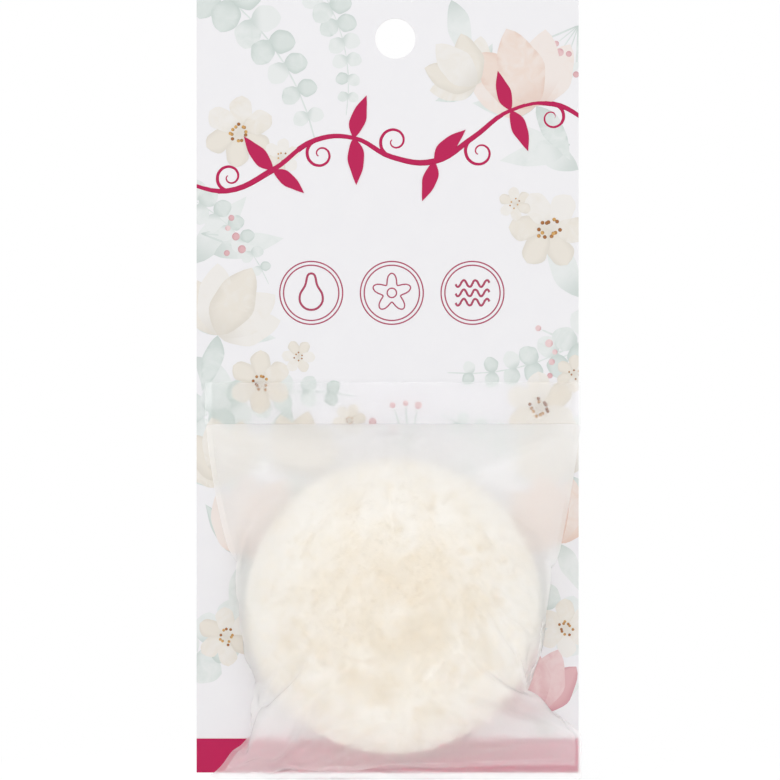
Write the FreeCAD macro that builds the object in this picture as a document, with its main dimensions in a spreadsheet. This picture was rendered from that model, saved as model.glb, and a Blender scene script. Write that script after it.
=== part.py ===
"""A dry konjac sponge in its hang pack: a card with a hang hole, a film bag glued to the card, and the sponge.

Frame: millimetres, +Z up, the printed front faces -Y. The origin is the centre of the hang hole, on the card's
back face, so the pack hangs from its origin.
"""

import FreeCAD
import Part
import math
import os
import Sketcher

# Driving dimensions, in millimetres unless the name says otherwise.
SIZES = {
    "card_width": 90.0,
    "card_height": 182.0,
    "card_thickness": 0.5,
    "hole_diameter": 9.5,
    "hole_drop": 9.1,            # card's top edge down to the hole's centre
    "hole_offset": 1.8,          # hole's centre to the right of the card's middle
    "bag_ease": 9.25,            # spare flat width of the bag on each side of the sponge
    "bag_offset": 1.3,           # bag's middle to the right of the card's middle
    "bag_overhang": 1.2,         # the bag's foot hangs below the card's bottom edge
    "film_thickness": 0.2,
    "seam_width": 2.0,
    "bottom_seam_height": 4.0,
    "strip_height": 10.0,
    "strip_thickness": 0.2,
    "strip_inset": 1.5,          # the strip stops short of the bag's sides
    "sponge_diameter": 70.0,
    "sponge_thickness": 23.0,
    "sponge_rim": 4.0,           # radius of the rolled rim at the flat back
    "sponge_lift": 1.5,          # bottom seam up to the sponge's lowest point
    "sponge_play": 4.0,          # free travel of the loose sponge up the bag
    "head_room": 3.4,            # raised sponge up to the top of the pocket
    "piece_clearance": 0.3,      # between pieces that move apart
    "film_slack": 0.6,           # how far the domed film stands off the sponge, beyond the clearance
    "film_rise": 0.6,            # rise of the front film where it leaves the hem and the bottom seam
}

# Heights of the film's lofted sections, as shares of the sponge's radius from the sponge's centre.
ABOVE_SHARES = (0.9, 0.6, 0.3, 0.0)
BELOW_SHARES = (0.0, 0.3, 0.6, 0.85, 0.97)


def make_sheet(doc):
    """The spreadsheet that every sub-part reads its sizes from."""
    sheet = doc.addObject("Spreadsheet::Sheet", "sizes")
    for row, (alias, value) in enumerate(SIZES.items(), start=1):
        sheet.set(f"A{row}", alias)
        sheet.set(f"B{row}", str(value))
        sheet.setAlias(f"B{row}", alias)
    doc.recompute()
    return sheet


# Places shared by several pieces, written once as expressions over the sheet.
CARD_MIDDLE = "(-sizes.hole_offset)"
CARD_FOOT = "(sizes.hole_drop - sizes.card_height)"
BAG_MIDDLE = f"({CARD_MIDDLE} + sizes.bag_offset)"
BAG_HALF = "(sizes.sponge_diameter / 2 + sizes.bag_ease)"
BAG_FOOT = f"({CARD_FOOT} - sizes.bag_overhang)"
PANEL_HALF = f"({BAG_HALF} - sizes.seam_width)"
POCKET_FOOT = f"({BAG_FOOT} + sizes.bottom_seam_height)"
POCKET_HALF = "((sizes.sponge_lift + sizes.sponge_diameter + sizes.sponge_play + sizes.head_room) / 2)"
POCKET_MIDDLE = f"({POCKET_FOOT} + {POCKET_HALF})"
POCKET_TOP = f"({POCKET_MIDDLE} + {POCKET_HALF})"
CREASE = f"({POCKET_TOP} + sizes.piece_clearance)"
BACK_PANEL_DEPTH = "(sizes.card_thickness + sizes.piece_clearance)"
SPONGE_HEIGHT = f"({POCKET_FOOT} + sizes.sponge_lift + sizes.sponge_diameter / 2)"
SPONGE_DEPTH = f"({BACK_PANEL_DEPTH} + sizes.film_thickness + sizes.piece_clearance)"

# The sponge's domed crown meets its rolled rim where the sponge is widest.
CROWN_RISE = "(sizes.sponge_thickness - sizes.sponge_rim)"
CROWN_RADIUS = f"(((sizes.sponge_diameter / 2)^2 + {CROWN_RISE}^2) / (2 * {CROWN_RISE}))"

# Across the sponge's middle the front film is an arc that clears the crown and the widest point alike, and
# what that arc leaves of the panel's width is how far the full bag's sides are drawn in.
FILM_GAP = "(sizes.piece_clearance + sizes.film_slack)"
FILM_TOP = f"(sizes.sponge_thickness + {FILM_GAP})"
FILM_REACH = f"(sizes.sponge_diameter / 2 + {FILM_GAP})"
FILM_DROP = f"({FILM_TOP} - sizes.piece_clearance - sizes.sponge_rim)"
FILM_RADIUS = f"(({FILM_REACH}^2 + {FILM_DROP}^2) / (2 * {FILM_DROP}))"
WAIST_HALF = f"sqrt(2 * {FILM_RADIUS} * {FILM_TOP} - {FILM_TOP}^2)"
SIDE_DRAW = f"({PANEL_HALF} - sizes.film_thickness - {WAIST_HALF})"
SIDE_RADIUS = f"(({POCKET_HALF}^2 + {SIDE_DRAW}^2) / (2 * {SIDE_DRAW}))"


def value(sheet, expression):
    """The number that an expression over the sheet has now."""
    return float(sheet.evalExpression(expression.replace("sizes.", "")))


def origin_plane(body, role):
    return next(f for f in body.Origin.OriginFeatures if f.Role == role)


def new_body(doc, label):
    body = doc.addObject("PartDesign::Body", label)
    body.Label = label
    return body


def new_sketch(body, name, role, across="0", up="0", out="0"):
    """A sketch on one of the body's own planes, moved by expressions along its own axes."""
    sketch = body.newObject("Sketcher::SketchObject", name)
    sketch.AttachmentSupport = (origin_plane(body, role), "")
    sketch.MapMode = "FlatFace"
    for axis, expression in zip("xyz", (across, up, out)):
        sketch.setExpression(f"AttachmentOffset.Base.{axis}", expression)
    return sketch


def bind_point(sketch, geometry, end, x, y, sheet):
    """Ties one end of a sketch line or arc to two expressions."""
    for kind, expression in (("DistanceX", x), ("DistanceY", y)):
        place = Sketcher.Constraint(kind, -1, 1, geometry, end, value(sheet, expression))
        index = sketch.addConstraint(place)
        sketch.setExpression(f"Constraints[{index}]", expression)


def draw_outline(sketch, corners, sheet, bends=None):
    """A closed outline through corners, whose sides are lines or, where bends names them, arcs.

    A corner is two expressions. A bend is the expression of its radius and the side it bulges to:
    +1 to the left of the way along the side, -1 to the right.
    """
    bends = bends or {}
    points = [FreeCAD.Vector(value(sheet, x), value(sheet, y), 0) for x, y in corners]
    count = len(points)
    starts = []
    for side in range(count):
        first, last = points[side], points[(side + 1) % count]
        if side not in bends:
            starts.append((sketch.addGeometry(Part.LineSegment(first, last)), 1, 2))
            continue
        radius_text, hand = bends[side]
        radius = value(sheet, radius_text)
        chord = last - first
        left = FreeCAD.Vector(-chord.y, chord.x, 0).normalize()
        centre = first + chord / 2 - left * hand * math.sqrt(radius**2 - (chord.Length / 2) ** 2)
        tail, tip = (first, last) if hand < 0 else (last, first)
        angles = [math.atan2(end.y - centre.y, end.x - centre.x) for end in (tail, tip)]
        circle = Part.Circle(centre, FreeCAD.Vector(0, 0, 1), radius)
        arc = sketch.addGeometry(Part.ArcOfCircle(circle, *angles))
        index = sketch.addConstraint(Sketcher.Constraint("Radius", arc, radius))
        sketch.setExpression(f"Constraints[{index}]", radius_text)
        starts.append((arc, 1, 2) if hand < 0 else (arc, 2, 1))
    for side in range(count):
        geometry, _, end = starts[side]
        following, start, _ = starts[(side + 1) % count]
        sketch.addConstraint(Sketcher.Constraint("Coincident", geometry, end, following, start))
    for side, (x, y) in enumerate(corners):
        geometry, start, _ = starts[side]
        bind_point(sketch, geometry, start, x, y, sheet)


def pad(body, sketch, name, length):
    feature = body.newObject("PartDesign::Pad", name)
    feature.Profile = sketch
    feature.setExpression("Length", length)
    return feature


def make_backing_card(doc, sheet):
    """The printed card: a guillotined rectangle with a round hang hole."""
    body = new_body(doc, "backing_card")
    left = f"{CARD_MIDDLE} - sizes.card_width / 2"
    right = f"{CARD_MIDDLE} + sizes.card_width / 2"
    top = "sizes.hole_drop"
    outline = new_sketch(body, "card_outline", "XZ_Plane")
    draw_outline(outline, [(left, CARD_FOOT), (right, CARD_FOOT), (right, top), (left, top)], sheet)
    pad(body, outline, "card_pad", "sizes.card_thickness")
    doc.recompute()
    punch = new_sketch(body, "hang_hole", "XZ_Plane")
    diameter = value(sheet, "sizes.hole_diameter")
    circle = punch.addGeometry(Part.Circle(FreeCAD.Vector(), FreeCAD.Vector(0, 0, 1), diameter / 2))
    punch.addConstraint(Sketcher.Constraint("Coincident", circle, 3, -1, 1))
    index = punch.addConstraint(Sketcher.Constraint("Diameter", circle, diameter))
    punch.setExpression(f"Constraints[{index}]", "sizes.hole_diameter")
    cut = body.newObject("PartDesign::Pocket", "hole_punch")
    cut.Profile = punch
    cut.Type = "ThroughAll"
    cut.Reversed = True
    return body


def make_slab(doc, label, width, depth, height, left, back, foot):
    """A flat strip whose back face lies at the given depth in front of the card's back face."""
    slab = doc.addObject("Part::Box", label)
    slab.Label = label
    slab.setExpression("Length", width)
    slab.setExpression("Width", depth)
    slab.setExpression("Height", height)
    slab.setExpression("Placement.Base.x", left)
    slab.setExpression("Placement.Base.y", f"-({back}) - ({depth})")
    slab.setExpression("Placement.Base.z", foot)
    return slab


def make_adhesive_strip(doc):
    """Double-sided strip between the card and the bag's hem."""
    width = f"2 * ({BAG_HALF} - sizes.strip_inset)"
    left = f"{BAG_MIDDLE} - {BAG_HALF} + sizes.strip_inset"
    return make_slab(
        doc, "adhesive_strip", width, "sizes.strip_thickness", "sizes.strip_height",
        left, "sizes.card_thickness", CREASE,
    )


def make_top_hem(doc):
    """The bag's two films pressed flat onto the strip."""
    left = f"{BAG_MIDDLE} - {BAG_HALF}"
    back = "sizes.card_thickness + sizes.strip_thickness"
    return make_slab(
        doc, "bag_top_hem", f"2 * {BAG_HALF}", "2 * sizes.film_thickness", "sizes.strip_height",
        left, back, CREASE,
    )


def make_bottom_seam(doc):
    """The welded band along the bag's foot."""
    left = f"{BAG_MIDDLE} - {BAG_HALF}"
    return make_slab(
        doc, "bag_bottom_seam", f"2 * {BAG_HALF}", "2 * sizes.film_thickness", "sizes.bottom_seam_height",
        left, BACK_PANEL_DEPTH, BAG_FOOT,
    )


def make_back_panel(doc, sheet):
    """The bag's flat back film, drawn in at the sides."""
    body = new_body(doc, "bag_back_panel")
    left = f"{BAG_MIDDLE} - {PANEL_HALF}"
    right = f"{BAG_MIDDLE} + {PANEL_HALF}"
    outline = new_sketch(body, "back_outline", "XZ_Plane", out=BACK_PANEL_DEPTH)
    corners = [(left, POCKET_FOOT), (right, POCKET_FOOT), (right, POCKET_TOP), (left, POCKET_TOP)]
    draw_outline(outline, corners, sheet, bends={1: (SIDE_RADIUS, 1), 3: (SIDE_RADIUS, 1)})
    pad(body, outline, "back_pad", "sizes.film_thickness")
    return body


def make_side_seam(doc, sheet, label, hand):
    """A welded band beside the panels, hand +1 on the right and -1 on the left."""
    body = new_body(doc, label)
    inner = f"{BAG_MIDDLE} + {hand} * {PANEL_HALF}"
    outer = f"{BAG_MIDDLE} + {hand} * {BAG_HALF}"
    outline = new_sketch(body, f"{label}_outline", "XZ_Plane", out=BACK_PANEL_DEPTH)
    corners = [(inner, POCKET_FOOT), (outer, POCKET_FOOT), (outer, POCKET_TOP), (inner, POCKET_TOP)]
    draw_outline(outline, corners, sheet, bends={1: (SIDE_RADIUS, hand), 3: (SIDE_RADIUS, -hand)})
    pad(body, outline, f"{label}_pad", "2 * sizes.film_thickness")
    return body


def make_sponge(doc, sheet):
    """The sponge: a flat back, a rolled rim and a domed crown, turned about its middle."""
    body = new_body(doc, "konjac_sponge")
    profile = new_sketch(
        body, "sponge_profile", "XY_Plane", across=BAG_MIDDLE, up=f"-{SPONGE_DEPTH}", out=SPONGE_HEIGHT
    )
    reach = "sizes.sponge_diameter / 2"
    corners = [
        ("0", "0"),
        ("0", "-sizes.sponge_thickness"),
        (reach, "-sizes.sponge_rim"),
        (f"{reach} - sizes.sponge_rim", "0"),
    ]
    draw_outline(profile, corners, sheet, bends={1: (CROWN_RADIUS, -1), 2: ("sizes.sponge_rim", -1)})
    turned = body.newObject("PartDesign::Revolution", "sponge_turn")
    turned.Profile = profile
    turned.ReferenceAxis = (profile, ["V_Axis"])
    turned.Angle = 360
    return body


def film_sections(sheet):
    """(height, half width, rise) of the front film at each lofted section, from the hem down to the seam."""
    radius = value(sheet, "sizes.sponge_diameter / 2")
    crown = value(sheet, CROWN_RADIUS)
    top = value(sheet, FILM_TOP)
    centre = value(sheet, SPONGE_HEIGHT)
    raised = value(sheet, f"{SPONGE_HEIGHT} + sizes.sponge_play")
    side = value(sheet, SIDE_RADIUS)
    middle = value(sheet, POCKET_MIDDLE)
    waist = value(sheet, WAIST_HALF)
    end_rise = value(sheet, "sizes.film_rise")

    def half_width(height):
        return waist + side - math.sqrt(side**2 - (height - middle) ** 2)

    def rise_at(share):
        return top - crown + math.sqrt(crown**2 - (share * radius) ** 2)

    stations = [(value(sheet, POCKET_TOP), end_rise)]
    stations += [(raised + share * radius, rise_at(share)) for share in ABOVE_SHARES]
    stations += [(centre - share * radius, rise_at(share)) for share in BELOW_SHARES]
    stations += [(value(sheet, POCKET_FOOT), end_rise)]
    return [(height, half_width(height), rise) for height, rise in stations]


def film_wire(sheet, height, half, rise):
    """One section of the front film: two concentric arcs a film's thickness apart, closed at the sides."""
    film = value(sheet, "sizes.film_thickness")
    middle = value(sheet, BAG_MIDDLE)
    seat = value(sheet, f"{BACK_PANEL_DEPTH} + sizes.film_thickness")
    radius = (half**2 + rise**2) / (2 * rise)
    centre = FreeCAD.Vector(middle, -(seat + rise - radius), height)
    spread = math.asin(half / radius)

    def point(distance, angle):
        return centre + FreeCAD.Vector(math.sin(angle), -math.cos(angle), 0) * distance

    inner = Part.Arc(*(point(radius, turn) for turn in (-spread, 0, spread)))
    outer = Part.Arc(*(point(radius + film, turn) for turn in (spread, 0, -spread)))
    right = Part.LineSegment(point(radius, spread), point(radius + film, spread))
    left = Part.LineSegment(point(radius + film, -spread), point(radius, -spread))
    return Part.Wire([edge.toShape() for edge in (inner, right, outer, left)])


def make_front_panel(doc, sheet):
    """The bag's front film, lofted over the sponge from the hem to the bottom seam."""
    wires = [film_wire(sheet, *section) for section in film_sections(sheet)]
    panel = doc.addObject("Part::Feature", "bag_front_panel")
    panel.Label = "bag_front_panel"
    panel.Shape = Part.makeLoft(wires, True, False)
    return panel


def check(doc, pieces):
    """Stops the build if anything in the document failed or a piece isn't one valid solid."""
    failed = [o.Name for o in doc.Objects if {"Invalid", "Error"} & set(o.State)]
    if failed:
        raise RuntimeError(f"failed to build: {failed}")
    for piece in pieces:
        shape = piece.Shape
        if shape.isNull() or not shape.isValid() or len(shape.Solids) != 1:
            raise RuntimeError(f"{piece.Label} isn't one valid solid")
        box = shape.BoundBox
        print(f"{piece.Label}: {shape.Volume:.1f} mm3, {box.XLength:.1f} x {box.YLength:.1f} x {box.ZLength:.1f} mm")


def main():
    doc = FreeCAD.newDocument("konjac_sponge_pack")
    sheet = make_sheet(doc)
    pieces = [
        make_backing_card(doc, sheet),
        make_adhesive_strip(doc),
        make_top_hem(doc),
        make_back_panel(doc, sheet),
        make_front_panel(doc, sheet),
        make_side_seam(doc, sheet, "bag_left_seam", -1),
        make_side_seam(doc, sheet, "bag_right_seam", 1),
        make_bottom_seam(doc),
        make_sponge(doc, sheet),
    ]
    doc.recompute()
    check(doc, pieces)
    os.makedirs("parts", exist_ok=True)
    for piece in pieces:
        piece.Shape.exportStep(f"parts/{piece.Label}.step")


main()
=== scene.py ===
# %% [markdown]
# # A konjac sponge in its hang pack
#
# The object is a dry, domed face sponge that lies loose in a frosted film bag. The bag hangs by its
# glued top hem from a printed card, and the card hangs by a punched hole. The card, the bag, the
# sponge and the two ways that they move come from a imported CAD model, and this file gives that model
# its looks. Everything is in metres, in the model's own frame: +Z is up, the printed front faces -Y,
# and the origin is the centre of the hang hole.

# %% The frame
import itertools
import math
import random

import bpy
from mathutils import Matrix, Vector


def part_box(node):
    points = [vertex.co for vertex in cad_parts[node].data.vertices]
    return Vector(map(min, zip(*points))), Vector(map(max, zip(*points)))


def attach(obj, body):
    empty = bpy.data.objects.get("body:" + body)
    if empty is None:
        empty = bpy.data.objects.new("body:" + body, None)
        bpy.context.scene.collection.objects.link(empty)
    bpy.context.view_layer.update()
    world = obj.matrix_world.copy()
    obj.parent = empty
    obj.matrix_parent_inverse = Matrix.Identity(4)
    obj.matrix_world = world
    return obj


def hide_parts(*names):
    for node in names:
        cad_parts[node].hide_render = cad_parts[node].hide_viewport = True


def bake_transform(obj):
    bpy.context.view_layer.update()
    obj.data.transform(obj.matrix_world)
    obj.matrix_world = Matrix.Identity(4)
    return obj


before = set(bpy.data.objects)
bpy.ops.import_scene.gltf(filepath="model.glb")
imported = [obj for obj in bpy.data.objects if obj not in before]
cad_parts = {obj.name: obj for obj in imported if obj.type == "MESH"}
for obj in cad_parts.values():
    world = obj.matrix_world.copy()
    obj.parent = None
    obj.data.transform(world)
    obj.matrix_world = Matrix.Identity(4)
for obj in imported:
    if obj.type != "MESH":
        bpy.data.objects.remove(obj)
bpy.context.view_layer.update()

MM = 0.001
card_low, card_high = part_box("backing_card")
hem_low, hem_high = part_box("bag_top_hem")
foot_low, foot_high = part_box("bag_bottom_seam")
sponge_low, sponge_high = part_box("konjac_sponge")
print("card", [round(side / MM, 1) for side in card_high - card_low], "mm")

# %% [markdown]
# ## The camera
#
# The photograph looks straight at the card, so one scale holds for the whole picture: the card's
# width in pixels gives the size of a pixel, and its left and top edges give the point that the
# picture's middle shows. A long lens from about a metre away keeps the bulge of the bag from looking
# swollen.

# %% Camera
PHOTO_SIDE_PX = 780
CARD_LEFT_PX = 196.6
CARD_TOP_PX = 0.0
CARD_WIDTH_PX = 382.0
CAMERA_DISTANCE = 1.1

pixel = (card_high.x - card_low.x) / CARD_WIDTH_PX
aim = Vector((
    card_low.x + (PHOTO_SIDE_PX / 2 - CARD_LEFT_PX) * pixel,
    card_low.y,
    card_high.z - (PHOTO_SIDE_PX / 2 - CARD_TOP_PX) * pixel,
))
bpy.ops.object.camera_add(location=aim - Vector((0, CAMERA_DISTANCE, 0)), rotation=(math.pi / 2, 0, 0))
camera = bpy.context.object
camera.data.lens = camera.data.sensor_width * CAMERA_DISTANCE / (PHOTO_SIDE_PX * pixel)
bpy.context.scene.camera = camera
print("lens", round(camera.data.lens), "mm")

# %% [markdown]
# ## Helpers
#
# Operators act on whatever is selected, so one helper clears the selection and takes a single piece
# in hand. The others apply a modifier at once, stand a flat grid upright, turn a colour as a designer
# writes it into the linear colour that shaders take, and add a shader node with its settings and
# links.

# %% Helpers
def take(piece):
    """Makes one piece the only selected and active object."""
    bpy.ops.object.select_all(action="DESELECT")
    piece.select_set(True)
    bpy.context.view_layer.objects.active = piece


def apply_modifier(piece, kind, **settings):
    """Adds a modifier, sets it up and applies it."""
    take(piece)
    modifier = piece.modifiers.new(kind.lower(), kind)
    for name, setting in settings.items():
        setattr(modifier, name, setting)
    bpy.ops.object.modifier_apply(modifier=modifier.name)


def upright_grid(name, columns, rows, size=(1, 1), place=(0, 0, 0)):
    """A flat grid that stands upright and faces the front, at its size and place."""
    bpy.ops.object.select_all(action="DESELECT")
    bpy.ops.mesh.primitive_grid_add(
        x_subdivisions=columns, y_subdivisions=rows, size=1, rotation=(math.pi / 2, 0, 0)
    )
    grid = bpy.context.object
    grid.name = name
    grid.scale = (*size, 1)
    grid.location = place
    bpy.ops.object.transform_apply()
    return grid


def colour(code):
    """Six sRGB hex digits as a linear colour."""
    shares = [int(code[start:start + 2], 16) / 255 for start in (0, 2, 4)]
    return (*[s / 12.92 if s <= 0.04045 else ((s + 0.055) / 1.055) ** 2.4 for s in shares], 1.0)


def set_inputs(node, values):
    """Gives each named input of a node a value or a link."""
    for socket, given in values.items():
        if isinstance(given, bpy.types.NodeSocket):
            node.id_data.links.new(given, node.inputs[socket])
        else:
            node.inputs[socket].default_value = given


def add_node(tree, kind, values=None, **settings):
    """Adds a node, sets its options and then its inputs."""
    node = tree.nodes.new(kind)
    for name, setting in settings.items():
        setattr(node, name, setting)
    set_inputs(node, values or {})
    return node


def new_material(name):
    """A material with its node tree and its Principled shader."""
    material = bpy.data.materials.new(name)
    material.use_nodes = True
    tree = material.node_tree
    return material, tree, tree.nodes["Principled BSDF"]


def dress(piece, material):
    """Gives a piece one material all over."""
    piece.data.materials.clear()
    piece.data.materials.append(material)


# Sockets of the Mix node when it mixes colours.
MIX_SHARE, MIX_FIRST, MIX_SECOND, MIX_RESULT = 0, 6, 7, 2

# %% [markdown]
# ## Light
#
# The photograph has a white ground and soft, even light. A white world does most of it here, and
# three soft lamps give it shape: a key at the upper left, a fill at the right and a low one in front.
# The floor is pale and keeps the pack's shadow. Further out it turns white where it is looked at, so
# that no edge shows behind the card. Light passes film, sponge and card many times before it leaves
# the bag, so its paths are long.

# %% World, lamps and floor
WORLD_LEVEL = 0.77
FLOOR_GAP = 1.5 * MM
FLOOR_SIDE = 1.6
FLOOR_TONE = 0.9
FLOOR_LIFT = 0.3
SHADOW_REACH = 0.12
BOUNCES = 40

bpy.context.scene.view_settings.view_transform = "Standard"
cycles = bpy.context.scene.cycles
cycles.blur_glossy = 0.0
cycles.max_bounces = BOUNCES
cycles.transmission_bounces = BOUNCES
cycles.diffuse_bounces = BOUNCES
cycles.glossy_bounces = BOUNCES


def seen_directly(tree):
    """A socket that is 1 where a thing is looked at, also in a reflection or through film, and else 0."""
    path = add_node(tree, "ShaderNodeLightPath")
    clear = add_node(
        tree, "ShaderNodeMath",
        {0: path.outputs["Is Glossy Ray"], 1: path.outputs["Is Transmission Ray"]},
        operation="MAXIMUM",
    )
    seen = add_node(
        tree, "ShaderNodeMath",
        {0: clear.outputs[0], 1: path.outputs["Is Camera Ray"]},
        operation="MAXIMUM",
    )
    return seen.outputs[0]


world = bpy.data.worlds.new("studio")
bpy.context.scene.world = world
world.use_nodes = True
tree = world.node_tree
background = tree.nodes["Background"]
level = add_node(
    tree, "ShaderNodeMapRange", {"Value": seen_directly(tree), "To Min": WORLD_LEVEL, "To Max": 1.0}
)
set_inputs(background, {"Color": colour("FFFFFF"), "Strength": level.outputs[0]})


def soft_lamp(name, place, side, power):
    """A square lamp that faces the middle of the card."""
    bpy.ops.object.light_add(type="AREA", location=place)
    lamp = bpy.context.object
    lamp.name = name
    lamp.data.size = side
    lamp.data.energy = power
    lamp.rotation_euler = (aim - Vector(place)).to_track_quat("-Z", "Y").to_euler()


soft_lamp("key_lamp", (-0.5, -0.65, 0.4), 0.45, 0.85)
soft_lamp("fill_lamp", (0.55, -0.8, 0.05), 0.6, 0.7)
soft_lamp("low_lamp", (0.05, -0.8, -0.12), 0.3, 0.75)

bpy.ops.mesh.primitive_plane_add(size=FLOOR_SIDE, location=(aim.x, 0, foot_low.z - FLOOR_GAP))
floor = bpy.context.object
floor.name = "floor"
pale, tree, shader = new_material("pale_floor")
seen = seen_directly(tree)
lift = add_node(tree, "ShaderNodeMath", {0: seen, 1: FLOOR_LIFT}, operation="MULTIPLY")
set_inputs(shader, {
    "Base Color": (FLOOR_TONE, FLOOR_TONE, FLOOR_TONE, 1),
    "Roughness": 0.9,
    "Specular IOR Level": 0.0,
    "Emission Color": colour("FFFFFF"),
    "Emission Strength": lift.outputs[0],
})
coords = add_node(tree, "ShaderNodeTexCoord")
away = add_node(tree, "ShaderNodeVectorMath", {0: coords.outputs["Object"]}, operation="LENGTH")
far = add_node(
    tree, "ShaderNodeMapRange",
    {"Value": away.outputs["Value"], "From Min": SHADOW_REACH / 2, "From Max": SHADOW_REACH},
    interpolation_type="SMOOTHSTEP",
)
seen_far = add_node(tree, "ShaderNodeMath", {0: seen, 1: far.outputs[0]}, operation="MULTIPLY")
white = add_node(tree, "ShaderNodeEmission", {"Color": colour("FFFFFF"), "Strength": 1.0})
ground = add_node(
    tree, "ShaderNodeMixShader", {0: seen_far.outputs[0], 1: shader.outputs[0], 2: white.outputs[0]}
)
set_inputs(tree.nodes["Material Output"], {"Surface": ground.outputs[0]})
dress(floor, pale)

# %% [markdown]
# ## The card
#
# The card is solid bleached board with a clay coating on both sides: bright, faintly cool white, with
# a satin sheen and a fine, soft unevenness from the fibres under the coating. The guillotine leaves
# the core bare on the edges, where it is a little warmer and rougher. The CAD solid already has the
# right shape, so it only gets a finish.

# %% Coated board
BOARD_WHITE = "EFEEF1"
BOARD_BRIGHT = "F2F1F3"
BOARD_CORE = "E2DDD4"
FIBRE = 0.35 * MM
FIBRE_DEPTH = 0.03 * MM
MOTTLE = 6 * MM

board, tree, shader = new_material("coated_board")
coords = add_node(tree, "ShaderNodeTexCoord")
surface = add_node(tree, "ShaderNodeNewGeometry")
normal = add_node(tree, "ShaderNodeSeparateXYZ", {0: surface.outputs["Normal"]})
facing = add_node(tree, "ShaderNodeMath", {0: normal.outputs["Y"]}, operation="ABSOLUTE")
mottle = add_node(
    tree, "ShaderNodeTexNoise", {"Vector": coords.outputs["Object"], "Scale": 1 / MOTTLE, "Detail": 3}
)
sheet_white = add_node(
    tree, "ShaderNodeMix",
    {MIX_SHARE: mottle.outputs["Fac"], MIX_FIRST: colour(BOARD_WHITE), MIX_SECOND: colour(BOARD_BRIGHT)},
    data_type="RGBA",
)
face_or_edge = add_node(
    tree, "ShaderNodeMix",
    {
        MIX_SHARE: facing.outputs[0],
        MIX_FIRST: colour(BOARD_CORE),
        MIX_SECOND: sheet_white.outputs[MIX_RESULT],
    },
    data_type="RGBA",
)
fibre = add_node(
    tree, "ShaderNodeTexNoise", {"Vector": coords.outputs["Object"], "Scale": 1 / FIBRE, "Detail": 4}
)
bump = add_node(
    tree, "ShaderNodeBump", {"Height": fibre.outputs["Fac"], "Strength": 0.12, "Distance": FIBRE_DEPTH}
)
satin = add_node(tree, "ShaderNodeMapRange", {"Value": facing.outputs[0], "To Min": 0.95, "To Max": 0.5})
set_inputs(shader, {
    "Base Color": face_or_edge.outputs[MIX_RESULT],
    "Normal": bump.outputs[0],
    "Roughness": satin.outputs[0],
})
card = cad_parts["backing_card"]
dress(card, board)

# %% [markdown]
# ## Brush shapes for the print
#
# The card is printed with pale watercolour flowers round its sides. Ink has almost no thickness, but
# a print that is only a picture in a shader blurs when it is baked, so each brush mark here is a thin
# closed slab that is rooted in the card. All petals, leaves and stems start from one unit grid: a
# formula gives the half width along the mark, with a slight unevenness of the hand, and the grid's
# own UV map keeps "across" and "along" for the paint. Each mark is modelled once and copied. Two
# faces in one plane would flicker, so no two marks lie at one level: the golden ratio steps through
# each layer of ink without coming back to a level that is taken.

# %% Brush marks
INK_ROOT = 0.2 * MM
LAYER = 0.016 * MM
GOLDEN = 0.618034
SAME_POINT = 0.005 * MM
CUT_PRECISION = 0.001 * MM
marks = {}
marks_painted = itertools.count()


def brush_mark(name, length, breadth, widest=1.0, ends=0.8, bend=0.0, ruffle=0.0):
    """A flat petal, leaf or stem that grows from the origin up along Z, kept as a pattern to copy."""
    mark = upright_grid(name, 6, 14)
    for point in mark.data.vertices:
        across = 2 * point.co.x
        along = point.co.z + 0.5
        half = breadth / 2 * max(0.0, math.sin(math.pi * along**widest)) ** ends
        half *= 1 + ruffle * math.sin(13 * along + 2 * across)
        point.co = (across * half + bend * length * along**2, 0, length * along)
    bpy.ops.object.mode_set(mode="EDIT")
    bpy.ops.mesh.select_all(action="SELECT")
    bpy.ops.mesh.remove_doubles(threshold=SAME_POINT)
    bpy.ops.object.mode_set(mode="OBJECT")
    mark.data.attributes.new("tone", "FLOAT", "POINT")
    marks[name] = mark.data
    bpy.data.objects.remove(mark)


brush_mark("cup_petal", 17 * MM, 9.5 * MM, widest=0.9, ends=0.75, bend=0.05, ruffle=0.05)
brush_mark("star_petal", 5 * MM, 3.2 * MM, widest=1.5, ends=0.6, ruffle=0.07)
brush_mark("round_leaf", 7 * MM, 6.2 * MM, widest=0.95, ends=0.6, ruffle=0.04)
brush_mark("long_leaf", 13 * MM, 4.6 * MM, widest=0.8, ends=1.0, bend=0.12, ruffle=0.05)
brush_mark("stem", 10 * MM, 0.45 * MM, widest=1.0, ends=0.15)
brush_mark("dot", 1.6 * MM, 1.6 * MM, ends=0.5)
print("brush marks", {name: len(mesh.polygons) for name, mesh in marks.items()})


def on_card(across, down):
    """A place on the card's front, in millimetres from its top left corner, as a point of the frame."""
    return Vector((card_low.x + across * MM, card_low.y, card_high.z - down * MM))


def paint(piece_marks, mark, place, turn, size=1.0, layer=0, tone=0.5):
    """Copies a brush mark to a place on the card, turned clockwise in degrees, on its own layer of ink."""
    mesh = marks[mark].copy()
    level = 1 + layer + next(marks_painted) * GOLDEN % 1
    lifted = place - Vector((0, level * LAYER, 0))
    shape = Matrix.Diagonal((size, 1, size, 1))
    mesh.transform(Matrix.Translation(lifted) @ Matrix.Rotation(math.radians(turn), 4, "Y") @ shape)
    for point in mesh.attributes["tone"].data:
        point.value = tone
    copy = bpy.data.objects.new(mark, mesh)
    bpy.context.collection.objects.link(copy)
    piece_marks.append(copy)


def step_from(place, turn, length):
    """The point at a length, in millimetres, from a place on the card, in the direction of a turn."""
    return place + Matrix.Rotation(math.radians(turn), 3, "Y") @ Vector((0, 0, length * MM))


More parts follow.
